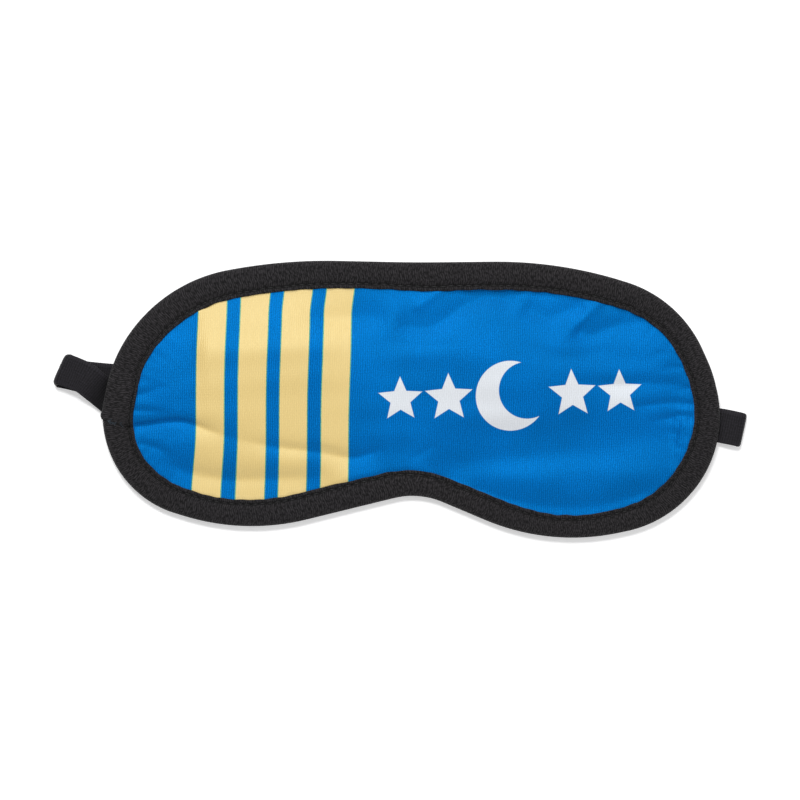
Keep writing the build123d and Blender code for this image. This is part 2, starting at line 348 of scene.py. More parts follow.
# Small gathers where the cloth runs under the binding: place along the outline, depth, width and reach inwards.
MASK_ENDS = place_of(-100, -3), place_of(100, -3)
GATHERS = []
gather_place = 0.0
while gather_place < PERIMETER - 3:
    near_end = max(float(bell(round_trip(gather_place, end), 0, 34)) for end in MASK_ENDS)
    depth = rng.uniform(0.03, 0.14) + 0.12 * near_end * rng.uniform(0.4, 1.0)
    width = rng.uniform(0.9, 1.9)
    GATHERS.append((gather_place, depth, width, rng.uniform(3.0, 6.0) + 5.0 * near_end))
    gather_place += rng.uniform(3.2, 8.0)


def gathers(inset, place):
    """Short valleys that run in from the binding."""
    total = np.zeros_like(inset)
    for middle, depth, width, reach in GATHERS:
        spread = width * (1 + 0.04 * np.clip(inset - TAPE_LEG, 0, 30))
        total -= depth * bell(round_trip(place, middle), 0, spread) * fading(inset, STITCH_INSET, reach, 1.5)
    return total


def cover_height(x, y, inset, place):
    """The printed cover's surface."""
    rise = PUFF_UP * (1 - fading(inset, 8.0, 9.0, 1.5))
    calm = smooth(inset, 8, 20)
    past_tape = inset - growth_at(place)
    tucked = 0.5 * (1 - smooth(past_tape, 6.8, 8.6))
    height = COVER_EDGE + rise + billows(x, y) * calm - droop(x, y) + edge_lift(place, inset) - tucked
    folds = ripples(x, y)
    for settings in FOLDS:
        folds = folds + fold(x, y, *settings)
    return height + (folds * smooth(past_tape, 6.5, 9.5) + gathers(inset, place) * smooth(past_tape, 6.5, 8.5))


def lining_height(x, y, inset, place, gathered=True):
    """The back lining's surface, which stays off the floor and above the strap."""
    fall = PUFF_DOWN * (1 - fading(inset, 7.4, 8.0, 1.25))
    calm = smooth(inset, 8, 20)
    height = LINING_EDGE - fall - droop(x, y) + 0.5 * billows(y + 31, x) * calm + edge_lift(place, inset)
    if gathered:
        height = height - 0.8 * gathers(inset, np.mod(PERIMETER - place, PERIMETER)) * smooth(inset, 6.5, 8.5)
    floor = FLOOR_GAP + (STRAP + 0.1) * (1 - smooth(np.abs(y - run_y(x)), 6.5, 12))
    over = height - floor
    return floor + 0.5 * (over + np.sqrt(over**2 + 0.09))


# ---- meshes


def add_object(name, data):
    obj = bpy.data.objects.new(name, data)
    bpy.context.collection.objects.link(obj)
    return obj


def make_object(name, points, faces, material, corner_uv=None):
    """A smooth mesh from points in millimetres. corner_uv gives each face corner its place on the cloth."""
    mesh = bpy.data.meshes.new(name)
    mesh.from_pydata((np.asarray(points) * MM).tolist(), [], [list(map(int, face)) for face in faces])
    mesh.materials.append(material)
    if corner_uv is not None:
        layer = mesh.uv_layers.new(name="cloth")
        layer.data.foreach_set("uv", np.asarray(corner_uv, np.float32).ravel())
    mesh.polygons.foreach_set("use_smooth", [True] * len(mesh.polygons))
    mesh.update()
    return add_object(name, mesh)


def tube_faces(rings, sides, closed_along=False):
    """The faces and the corner grid places of a surface swept in rings of closed sections."""
    faces, grid = [], []
    for i in range(rings if closed_along else rings - 1):
        for j in range(sides):
            here, there, j2 = i * sides, (i + 1) % rings * sides, (j + 1) % sides
            faces.append([here + j, there + j, there + j2, here + j2])
            grid.append([(i, j), (i + 1, j), (i + 1, j + 1), (i, j + 1)])
    return faces, grid


def sheet_grid(spacing, least_inset):
    """A square grid of points inside the outline, with its faces."""
    xs = np.arange(-102, 102 + spacing, spacing)
    ys = np.arange(-46, 47 + spacing, spacing)
    gx, gy = np.meshgrid(xs, ys, indexing="ij")
    flat = np.stack([gx.ravel(), gy.ravel()], axis=1)
    inset, place = from_edge(flat)
    keep = inset > least_inset
    cells = np.arange(len(xs) * len(ys)).reshape(len(xs), len(ys))
    quads = np.stack([cells[:-1, :-1], cells[1:, :-1], cells[1:, 1:], cells[:-1, 1:]], axis=-1).reshape(-1, 4)
    quads = quads[keep[quads].all(axis=1)]
    used = np.unique(quads)
    renumber = np.zeros(len(flat), int)
    renumber[used] = np.arange(len(used))
    return flat[used], inset[used], place[used], renumber[quads]


# The tape's section, from its inner edge on the back, round the mask's edge, to its inner edge on the front: inset
# from the mask's edge, and height. The inside of the fold follows, back to the start. Stitching draws both sides in.
SECTION_OUT = [
    (8.45, 3.05), (8.3, 2.82), (7.8, 2.72), (7.4, 2.84), (7.0, 3.05), (6.6, 2.84), (5.8, 2.66), (4.0, 2.56),
    (2.8, 2.58), (1.8, 2.7), (1.0, 2.95), (0.42, 3.4), (0.1, 3.95), (0.0, TAPE_MIDDLE), (0.12, 4.95),
    (0.5, 5.5), (1.1, 5.9), (1.9, 6.15),
    (3.0, 6.3), (4.2, 6.33), (5.2, 6.26), (5.9, 6.1), (6.35, 5.9), (6.7, 5.62), (7.0, 5.42), (7.3, 5.62), (7.6, 5.84),
    (8.0, 5.92), (8.35, 5.82), (8.5, 5.6),
]
SECTION_IN = [
    (8.42, 5.2), (7.6, 5.0), (7.0, 4.95), (5.0, 5.2), (1.6, 5.3), (0.7, TAPE_MIDDLE), (1.6, 3.4), (5.0, 3.3),
    (7.6, 3.32), (8.3, 3.25),
]
GROOVE = float(length_along(SECTION_OUT)[SECTION_OUT.index((7.0, 5.42))])  # the stitching's place across the tape

# ---- materials

WHITE_LIGHT = (1, 1, 1, 1)


class Shader:
    """A material's node tree, with short ways to add nodes to it."""

    def __init__(self, name):
        self.material = bpy.data.materials.new(name)
        self.material.use_nodes = True
        self.tree = self.material.node_tree
        self.surface = self.tree.nodes["Principled BSDF"]

    def add(self, kind, inputs, **settings):
        """A new node with its settings, and with a number or another node's output in each input named."""
        node = self.tree.nodes.new(kind)
        for key, value in settings.items():
            setattr(node, key, value)
        self.feed(node, inputs)
        return node

    def feed(self, node, inputs):
        for key, value in inputs.items():
            if isinstance(value, bpy.types.NodeSocket):
                self.tree.links.new(value, node.inputs[key])
            else:
                node.inputs[key].default_value = value

    def math(self, operation, *values):
        return self.add("ShaderNodeMath", dict(enumerate(values)), operation=operation).outputs[0]

    def times(self, first, second):
        return self.math("MULTIPLY", first, second)

    def plus(self, first, second):
        return self.math("ADD", first, second)

    def minus(self, first, second):
        return self.math("SUBTRACT", first, second)

    def scaled(self, value, factor, offset):
        return self.math("MULTIPLY_ADD", value, factor, offset)

    def distance(self, x, y):
        return self.math("SQRT", self.plus(self.math("POWER", x, 2.0), self.math("POWER", y, 2.0)))

    def step(self, value, low, high):
        """0 below low and 1 above high, with a smooth change between."""
        inputs = dict(enumerate((value, low, high, 0.0, 1.0)))
        return self.add("ShaderNodeMapRange", inputs, interpolation_type="SMOOTHSTEP").outputs[0]

    def mix(self, share, first, second, **settings):
        inputs = {0: share, 6: first, 7: second}
        return self.add("ShaderNodeMix", inputs, data_type="RGBA", **settings).outputs[2]

    def point(self, x, y):
        return self.add("ShaderNodeCombineXYZ", {0: x, 1: y}).outputs[0]

    def noise(self, place, scale, detail=2.0):
        return self.add("ShaderNodeTexNoise", {"Vector": place, "Scale": scale, "Detail": detail}).outputs["Fac"]

    def wave(self, value, pitch):
        """A ridge every pitch millimetres, from 0 to 1."""
        return self.scaled(self.math("SINE", self.times(value, math.tau / pitch)), 0.5, 0.5)

    def bump(self, height, depth):
        inputs = {"Strength": 1.0, "Distance": depth * MM, "Height": height}
        self.feed(self.surface, {"Normal": self.add("ShaderNodeBump", inputs).outputs[0]})

    def finish(self, colour, roughness, sheen=0.0, sheen_tint=WHITE_LIGHT, specular=0.4, specular_tint=WHITE_LIGHT):
        self.feed(self.surface, {
            "Base Color": colour, "Roughness": roughness, "Specular Tint": specular_tint,
            "Specular IOR Level": specular, "Sheen Weight": sheen, "Sheen Roughness": 0.45, "Sheen Tint": sheen_tint,
        })
        return self.material


BLUE, BLUE_DEEP = (0.0006, 0.131, 0.458, 1), (0.0005, 0.117, 0.405, 1)
YELLOW, GREEN_EDGE = (0.775, 0.570, 0.215, 1), (0.10, 0.34, 0.20, 1)
WHITE = (0.72, 0.73, 0.76, 1)
CLOTH_SATIN, PRINT_SATIN = 0.20, 0.08  # how much of the light the bare and the printed cloth reflect in a soft sheen
STRIPES = [(-69.7, -60.6), (-56.1, -47.0), (-42.6, -33.6), (-29.0, -20.1)]  # left and right edges across the cloth
MOTIF_CENTRE, MOTIF_TURN = (32.0, 1.4), math.radians(3.1)
PRINT_BLUR = 0.12  # half the width over which the print's edges change
STAR_PLACES = [-35.6, -20.0, 20.0, 35.6]
STAR_OUTER, STAR_INNER = (7.4, 8.0, 8.0, 7.4), 0.45
MOON_RADIUS, MOON_BITE, MOON_SHIFT = 11.3, 9.2, 5.4


def cloth_shader(name):
    """A new material, the two distances over the cloth in millimetres, and the place that they give."""
    mat = Shader(name)
    uv = mat.add("ShaderNodeUVMap", {}, uv_map="cloth").outputs[0]
    u, v = mat.add("ShaderNodeSeparateXYZ", {0: uv}).outputs[:2]
    return mat, u, v, mat.point(u, v)


def inside_star(mat, u, v, middle, outer):
    """1 inside a five-pointed star, and 0 outside."""
    x = mat.minus(u, middle)
    radius = mat.distance(x, v)
    angle = mat.math("ARCTAN2", x, v)
    sector = mat.math("PINGPONG", angle, math.pi / 5)
    along = mat.times(radius, mat.math("COSINE", sector))
    across = mat.times(radius, mat.math("SINE", sector))
    tip, notch = outer, outer * STAR_INNER
    notch_x, notch_y = notch * math.cos(math.pi / 5), notch * math.sin(math.pi / 5)
    length = math.hypot(notch_x - tip, notch_y)
    # The star's side runs from a tip on the first axis to the next notch. This is the distance inside that side.
    rest = mat.times(mat.minus(tip, along), notch_y / length)
    inner = mat.scaled(across, (notch_x - tip) / length, rest)
    return mat.step(inner, -PRINT_BLUR, PRINT_BLUR)


def inside_circle(mat, u, v, middle_u, middle_v, radius):
    """1 inside a circle, and 0 outside."""
    reach = mat.distance(mat.minus(u, middle_u), mat.minus(v, middle_v))
    return mat.step(reach, radius + PRINT_BLUR, radius - PRINT_BLUR)


def printed_cloth():
    """Fine knit cloth, printed blue with four cream stripes and a row of stars and a moon."""
    mat, u, v, place = cloth_shader("printed_cloth")
    ragged = mat.times(mat.minus(mat.noise(place, 1.6), 0.5), 0.18)
    u_print = mat.plus(u, ragged)
    patch = mat.step(mat.noise(place, 0.045, 3.0), 0.35, 0.65)
    colour = mat.mix(patch, BLUE_DEEP, BLUE)
    ink = 0.0
    for left, right in STRIPES:
        wide, core = (
            mat.times(mat.step(u_print, left + a, left + b), mat.step(u_print, right - a, right - b))
            for a, b in ((-0.30, -0.16), (0.02, 0.14))
        )
        colour = mat.mix(wide, colour, GREEN_EDGE)
        colour = mat.mix(core, colour, YELLOW)
        ink = mat.plus(ink, core)
    du, dv = mat.minus(u, MOTIF_CENTRE[0]), mat.minus(v, MOTIF_CENTRE[1])
    c, s = math.cos(MOTIF_TURN), math.sin(MOTIF_TURN)
    mu = mat.scaled(du, c, mat.times(dv, s))
    mv = mat.scaled(dv, c, mat.times(du, -s))
    disc = inside_circle(mat, mu, mv, 0.0, 0.0, MOON_RADIUS)
    shape = mat.times(disc, mat.minus(1.0, inside_circle(mat, mu, mv, MOON_SHIFT, 1.6, MOON_BITE)))
    for middle, outer in zip(STAR_PLACES, STAR_OUTER):
        shape = mat.math("MAXIMUM", shape, inside_star(mat, mu, mv, middle, outer))
    colour = mat.mix(shape, colour, WHITE)
    ink = mat.plus(ink, shape)
    mat.feed(mat.surface, {"Metallic": mat.scaled(ink, PRINT_SATIN - CLOTH_SATIN, CLOTH_SATIN)})
    # The knit: columns of small loops, a little uneven.
    wobble = mat.times(mat.noise(place, 0.5), 0.9)
    columns = mat.wave(mat.plus(u, wobble), 0.70)
    rows = mat.wave(mat.plus(v, mat.times(columns, 0.28)), 0.52)
    knit = mat.times(columns, mat.scaled(rows, 0.55, 0.45))
    speckle = mat.noise(place, 2.6, 2.0)
    uneven = mat.scaled(knit, 0.22, mat.scaled(speckle, 0.60, -0.38))
    strength = mat.scaled(ink, -2.0, 2.35)
    shade = mat.scaled(uneven, strength, 1.0)
    grey = mat.add("ShaderNodeCombineColor", {0: shade, 1: shade, 2: shade}).outputs[0]
    colour = mat.mix(1.0, colour, grey, blend_type="MULTIPLY")
    mat.bump(mat.scaled(speckle, 0.5, knit), 0.055)
    return mat.finish(colour, 0.5, 0.02, (0.1, 0.6, 1, 1), 0.5, (0.02, 0.63, 1, 1))


def tape_weave():
    """Black twill tape: short broken dashes across it, over fine ribs, with painted shade darkening it along the
    stitched groove.
    """
    mat, u, v, place = cloth_shader("binding_tape")
    lean = mat.times(mat.noise(place, 0.07, 1.0), 1.5)
    wobble = mat.times(mat.noise(place, 0.3), 0.25)
    across = mat.times(mat.math("PINGPONG", v, 2.6), 0.22)
    along = mat.plus(mat.plus(u, wobble), mat.plus(across, lean))
    ribs = mat.wave(along, 0.72)
    wide_ribs = mat.wave(along, 1.62)
    dashes = mat.step(mat.noise(mat.point(along, mat.times(v, 0.42)), 2.2, 2.0), 0.36, 0.62)
    grain = mat.noise(place, 2.1, 2.0)
    lint = mat.step(mat.noise(place, 1.7, 1.0), 0.69, 0.76)
    weave = mat.times(dashes, mat.scaled(ribs, 0.85, 0.32))
    weave = mat.times(weave, mat.scaled(wide_ribs, 0.4, 0.72))
    # Painted shade: the tape is darkened, in patches, along the stitched groove where the thread sinks in.
    off = mat.math("ABSOLUTE", mat.minus(v, GROOVE))
    groove_shade = mat.step(off, 0.75, 0.2)
    groove_shade = mat.times(groove_shade, mat.step(mat.noise(mat.point(u, 0.0), 0.55, 2.0), 0.2, 0.5))
    share = mat.scaled(weave, 1.10, mat.times(grain, 0.16))
    share = mat.scaled(lint, 0.55, share)
    share = mat.times(share, mat.scaled(groove_shade, -0.85, 1.0))
    black, grey = (0.0010, 0.0010, 0.0012, 1), (0.034, 0.031, 0.034, 1)
    mat.bump(mat.scaled(grain, 0.5, weave), 0.20)
    return mat.finish(mat.mix(share, black, grey), roughness=0.85, sheen=0.08, specular=0.2)


def dark_cloth(name, colour, light, rib_pitch, cross_pitch, depth, contrast, edge=None, roughness=0.8):
    """Black woven cloth or elastic: fine ribs across it, a little uneven, with the odd paler fibre. edge holds the
    places of its two selvages; with it, the elastic also gets painted shade near its left sewn end."""
    mat, u, v, place = cloth_shader(name)
    wobble = mat.times(mat.noise(place, 0.35), 0.6)
    ribs = mat.wave(mat.plus(u, wobble), rib_pitch)
    cross = mat.wave(mat.plus(v, mat.times(ribs, 0.2)), cross_pitch)
    weave = mat.times(ribs, mat.scaled(cross, 0.5, 0.5))
    fibre = mat.noise(place, 1.7, 3.0)
    share = mat.scaled(weave, contrast, mat.times(fibre, 1.0 - contrast))
    share = mat.step(share, 0.15, 0.75)
    height = mat.scaled(fibre, 0.5, weave)
    if edge:
        selvage = 0.0
        for middle in edge:
            off = mat.math("ABSOLUTE", mat.minus(v, middle))
            selvage = mat.plus(selvage, mat.step(off, 0.5, 0.2))
        share = mat.scaled(selvage, 0.35, share)
        # Painted shade: the elastic is darkest within 8.5 mm of its left sewn end, where it runs down under the mask's
        # edge. It is back to its own tone by 15 mm.
        share = mat.times(share, mat.scaled(mat.step(u, 8.5, 15.0), 0.75, 0.25))
        height = mat.scaled(selvage, 0.6, height)
    mat.bump(height, depth)
    return mat.finish(mat.mix(share, colour, light), roughness=roughness, sheen=0.08, specular=0.2)


def plain(name, colour, roughness, sheen=0.0):
    """A plain finish with faint unevenness."""
    mat = Shader(name)
    where = mat.add("ShaderNodeNewGeometry", {}).outputs["Position"]
    darker = tuple(0.8 * c for c in colour[:3]) + (1,)
    return mat.finish(mat.mix(mat.noise(where, 900.0), darker, colour), roughness, sheen)


cover_cloth = printed_cloth()
tape_cloth = tape_weave()
lining_cloth = dark_cloth(
    "lining_cloth", (0.0060, 0.0060, 0.0070, 1), (0.028, 0.028, 0.032, 1), 0.55, 0.55, 0.06, 0.55
)
elastic_cloth = dark_cloth(
    "elastic", (0.0008, 0.0008, 0.0012, 1), (0.0165, 0.0148, 0.0195, 1), 0.75, 0.95, 0.09, 0.30, (0.7, 10.3), 0.7
)
thread_finish = plain("black_thread", (0.006, 0.006, 0.0065, 1), 0.55, 0.05)
fray_finish = plain("frayed_fibres", (0.050, 0.068, 0.088, 1), 0.8)
foam_finish = plain("foam", (0.80, 0.80, 0.76, 1), 0.95)

# ---- cover, lining and foam

SHEET_INSET = 4.0  # how far the cover and the lining stop from the mask's edge, inside the binding


def print_shift(x, y):
    """How far the print is pulled sideways where the cloth was gathered into the binding."""
    top = 1.0 * smooth(y, 26, 37) * smooth(x, -62, -35)
    bottom = -0.8 * smooth(-y, 14, 32) * smooth(-x, 50, 68)
    return top + bottom + 0.12 * np.sin(y / 7.0 + x / 23.0)


def cloth_sheet(name, spacing, height, material, flipped):
    """One face of the pad, as a fine sheet of cloth inside the binding."""
    flat, inset, place, quads = sheet_grid(spacing, SHEET_INSET)
    x, y = flat.T
    points = np.column_stack([flat, height(x, y, inset, place)])
    uv = np.column_stack([x - print_shift(x, y), y])
    if flipped:
        quads = quads[:, ::-1]
    return make_object(name, points, quads, material, uv[quads.ravel()])


cover = cloth_sheet("printed_cover", 0.65, cover_height, cover_cloth, flipped=False)
lining = cloth_sheet("lining", 0.9, lining_height, lining_cloth, flipped=True)


def foam_block():
    """The foam between the cover and the lining, a closed solid."""
    flat, inset, place, quads = sheet_grid(2.5, 1.5)
    x, y = flat.T
    shifts = [(0, 0), (0, 1.3), (0, -1.3), (1.3, 0), (-1.3, 0), (0, 2.6), (0, -2.6)]
    top = np.min([cover_height(x + dx, y + dy, inset, place) for dx, dy in shifts], axis=0) - 0.5
    bottom = lining_height(x, y, inset, place, gathered=False) + 0.3
    count = len(flat)
    points = np.vstack([np.column_stack([flat, z]) for z in (np.maximum(top, bottom + 0.1), bottom)])
    edges = {}
    for quad in quads:
        for a, b in zip(quad, np.roll(quad, -1)):
            if (b, a) in edges:
                del edges[(b, a)]
            else:
                edges[(a, b)] = True
    walls = [[b, a, a + count, b + count] for a, b in edges]
    faces = np.vstack([quads, quads[:, ::-1] + count, walls])
    return make_object("foam", points, faces, foam_finish)


foam = foam_block()

# ---- binding

TAPE_WAVES = [(int(rng.integers(18, 90)), rng.uniform(0, math.tau), rng.uniform(0.02, 0.07)) for _ in range(12)]


def wander(place):
    """A small irregular variation along the outline that closes on itself."""
    total = np.zeros_like(place)
    for turns, phase, size in TAPE_WAVES:
        total += size * np.sin(place / PERIMETER * math.tau * turns + phase)
    return total


def tape_points(place, section, offset=0.0, side=0.0):
    """The tape's section at one place along the outline, or each of its points at a place of its own, in space.
    offset thickens it up and down, and side outwards, as for a second layer."""
    section = np.array(section)
    place = np.broadcast_to(place, len(section)).astype(float)
    inset, height = section[:, 0].copy(), section[:, 1].copy()
    growth = growth_at(place)
    front = smooth(height, TAPE_MIDDLE, 5.2)
    share = np.clip(inset / 6.0, 0, 1)
    edge_wave = wander(place) * smooth(inset, 7.4, 8.2) * 0.5
    groove_wave = wander(place + 31.0) * bell(inset, STITCH_INSET, 1.2) * 0.5
    inset += front * (share * growth + edge_wave + groove_wave)
    pucker = wander(place + 7.0) * bell(inset, STITCH_INSET + growth, 2.6)
    height += np.where(height > TAPE_MIDDLE, 1, -1) * (offset + pucker)
    inset -= side * (1 - smooth(inset, 0.4, 2.2))
    edge, inward = outline_at(place)
    x, y = (edge + inward * inset[:, None]).T
    z = height - droop(x, y) + edge_lift(place, 0.0)
    return np.column_stack([x, y, z])


# The seen end of the tape, where its cut crosses the mask's outer edge, and the hidden end.
LAP_END, LAP_START = place_of(-100.3, -8.8), place_of(-99.4, 8.0)
LAP_SLANT = 4.0  # how much further round the cut reaches at the tape's inner edge
LAP_STEP = 0.5  # between sections of the lap


def binding_ring():
    section = SECTION_OUT + SECTION_IN
    rings = [tape_points(ALONG[k], section) for k in range(STATIONS)]
    sides = len(section)
    faces, grid = tube_faces(STATIONS, sides, closed_along=True)
    across = length_along(section + section[:1])
    uv = [(ALONG[i], across[j]) for corners in grid for i, j in corners]
    return np.vstack(rings), faces, uv


def lap_layer():
    """The tape's far end, lying over its start: a second layer with a cut edge that isn't quite square."""
    outer = np.array(SECTION_OUT[1:-1])
    half = len(outer)
    count = int((LAP_START - LAP_END) / LAP_STEP)
    front = smooth(outer[:, 1], TAPE_MIDDLE, 5.2)
    cut = LAP_SLANT * front * np.clip(outer[:, 0] / TAPE_LEG, 0, 1) + 0.16 * np.sin(np.arange(half) * 2.1)
    rings, places = [], []
    for k in range(count + 1):
        # The hidden end thins away under the single layer of tape that goes on from there.
        fade = 1 - smooth(k, count * 0.72, count)
        curl = float(bell(k * LAP_STEP, 1.2, 1.3))
        place = LAP_END + k * LAP_STEP - cut * (1 - smooth(k * LAP_STEP, 0, 9))
        top = tape_points(place, outer, 0.36 * fade + 0.02 + 0.16 * curl, 0.12 * fade + 0.65 * curl)
        under = tape_points(place, outer, -0.12, -0.12)
        rings.append(np.vstack([top, under[::-1]]))
        places.append(np.concatenate([place, place[::-1]]))
    sides = 2 * half
    faces, grid = tube_faces(len(rings), sides)
    across = length_along([*outer, *outer[::-1], outer[0]])
    uv = [(places[i][j % sides], across[j]) for corners in grid for i, j in corners]
    for end in (0, len(rings) - 1):
        base = end * sides
        for j in range(half - 1):
            quad = [base + j, base + j + 1, base + sides - 2 - j, base + sides - 1 - j]
            faces.append(quad if end == 0 else quad[::-1])
            uv += [(0.0, 0.1), (0.0, 0.4), (0.3, 0.4), (0.3, 0.1)]
    return np.vstack(rings), faces, uv


def join_parts(parts):
    """Several (points, faces, uv) as one."""
    points, faces, uv, first = [], [], [], 0
    for part_points, part_faces, part_uv in parts:
        points.append(part_points)
        faces += [[first + v for v in face] for face in part_faces]
        uv += list(part_uv)
        first += len(part_points)
    return np.vstack(points), faces, uv


points, faces, corner_uv = join_parts([binding_ring(), lap_layer()])
binding = make_object("binding", points, faces, tape_cloth, corner_uv)

# ---- stitching


def bead(start, end, radius, sides=6):
    """A short, round-ended length of thread."""
    start, end = np.asarray(start, float), np.asarray(end, float)
    axis = end - start
    length = np.linalg.norm(axis)
    axis /= length
    up = np.array([0.0, 0.0, 1.0]) if abs(axis[2]) < 0.9 else np.array([1.0, 0.0, 0.0])
    across = np.cross(axis, up)
    across /= np.linalg.norm(across)
    up = np.cross(across, axis)
    profile = [(0.0, 0.25), (0.12, 0.8), (0.35, 1.0), (0.65, 1.0), (0.88, 0.8), (1.0, 0.25)]
    points = []
    for share, width in profile:
        middle = start + axis * length * share
        middle[2] -= radius * 0.8 * (abs(share - 0.5) * 2) ** 2
        for k in range(sides):
            angle = math.tau * k / sides
            points.append(middle + (across * math.cos(angle) + up * math.sin(angle)) * radius * width)
    faces, _ = tube_faces(len(profile), sides)
    faces.append(list(range(sides))[::-1])
    faces.append([len(points) - sides + k for k in range(sides)])
    return np.array(points), faces


def thread(name, lengths, radius, material, underneath=False):
    """One object of many lengths of thread. Their ends dip into the cloth, which is upwards underneath."""
    turn = np.array([1, 1, -1 if underneath else 1])
    parts = []
    for start, end in lengths:
        points, faces = bead(start * turn, end * turn, radius)
        parts.append((points * turn, [face[::-1] for face in faces] if underneath else faces, []))
    points, faces, _ = join_parts(parts)
    return make_object(name, points, faces, material)


def stitch_line(height, pitch=2.7, gap=0.55):
    """The ends of each stitch round the binding, at a height in its section."""
    lengths = []
    count = int(PERIMETER / pitch)
    for k in range(count):
        ends = []
        for place in (k * PERIMETER / count + gap / 2, (k + 1) * PERIMETER / count - gap / 2):
            in_lap = LAP_END - LAP_SLANT < place < LAP_START - 2.5
            ends.append(tape_points(place, [(STITCH_INSET, height)], 0.34 if in_lap else 0.0)[0])
        lengths.append(ends)
    return lengths


def tack(middle, z, stitches=14, span=9.0, length=2.0):
    """The ends of each stitch of a bar tack: a tight zigzag under a strap's sewn end."""
    nodes = [
        np.array([middle[0] + (length / 2 if k % 2 else -length / 2), middle[1] + (k / stitches - 0.5) * span, z])
        for k in range(stitches + 1)
    ]
    return zip(nodes, nodes[1:])


needle_stitches = thread("needle_stitches", stitch_line(5.5), 0.19, thread_finish)
bobbin_stitches = thread("bobbin_stitches", stitch_line(2.98), 0.19, thread_finish, underneath=True)
tack_left = thread("tack_left", tack((-97.2, -3.0), 1.32), 0.2, thread_finish, underneath=True)
tack_right = thread("tack_right", tack((96.8, -6.1), 1.78), 0.2, thread_finish, underneath=True)


def fray():
    """Short loose fibres along the tape's cut end, each in two lengths."""
    lengths = []
    for _ in range(18):
        inset = rng.uniform(1.2, 4.8)
        place = LAP_END - LAP_SLANT * inset / TAPE_LEG + rng.uniform(-0.35, 0.25)
        start = tape_points(place, [(inset, 6.3)], 0.45)[0]
        heading = rng.uniform(-0.9, 0.9)
        reach = rng.uniform(0.5, 1.3)
        step = np.array([math.cos(heading), math.sin(heading) - 0.3, rng.uniform(-0.05, 0.25)]) * reach
        bend = start + 0.55 * step + np.array([0, 0, rng.uniform(0.02, 0.15)])
        lengths += [(start, bend), (bend, start + step)]
    return lengths


tape_fray = thread("tape_fray", fray(), 0.06, fray_finish)

# ---- strap

LEFT_FOLD, RIGHT_FOLD = np.array([[-114.7, 7.3], [107.9, -8.1]])
LEFT_SEWN, RIGHT_SEWN = np.array([[-93.0, -6.2], [91.5, -5.4]])
LEFT_TAB_Z, RIGHT_TAB_Z, LOW_Z = 1.85, 2.30, 0.46  # heights of the strap's middle at its sewn ends and underneath
LEFT_TURN, RIGHT_TURN = np.array([[-106.3, 4.5], [99.9, -6.5]])  # where each layer turns, past its fold
LEFT_BIGHT, RIGHT_BIGHT = 2.1, 1.45  # half the gap between the layers' middles at each fold
UNDER_TURN = np.array([-72.0, 1.5])  # a slight bend under the mask
BIGHT_REACH = 0.95  # how far a fold's bend carries on past its layers, in plan
LEFT_SKEW, RIGHT_SKEW = -1.15, 0.2475  # how far each fold's second layer lies to one side of its first
LEFT_CORNER, RIGHT_CORNER = 0.9, 0.3  # how far each fold's two corners are rounded off
LEFT_HEADING, RIGHT_HEADING = -23, 169  # degrees from +X of the way from each fold towards the mask
LEFT_ASIDE, RIGHT_AHEAD = 0.4, 0.35  # how far the left fold lies to one side, and the right one further out
# Half widths: at the left sewn end, and in the run at its left end, over its middle and at the folds.
TAB_HALF, RUN_THIN, RUN_WIDE, FOLD_HALF = 5.1, 5.2, 5.5, 5.4
FOLD_REACH = 3.0  # how far from a fold the strap takes up its direction
TURN_RADIUS = 14  # of the strap's turn beside its left fold


def fold_frame(degrees):
    """The direction from a fold towards the mask, and the direction across the strap."""
    angle = math.radians(degrees)
    return np.array([math.cos(angle), math.sin(angle)]), np.array([-math.sin(angle), math.cos(angle)])


def flat_run(points, radii, step):
    """A route in plan with rounded corners at an even spacing, with its distances and its directions."""
    route = [points[0]]
    for before, corner, after, radius in zip(points, points[1:], points[2:], radii):
        route += rounded_corner(before, corner, after, radius, 0.8, 3)
    route = np.array([*route, points[-1]])
    line, _ = even_points(route, max(2, int(length_along(route)[-1] / step)))
    return line, length_along(line), headings(line)


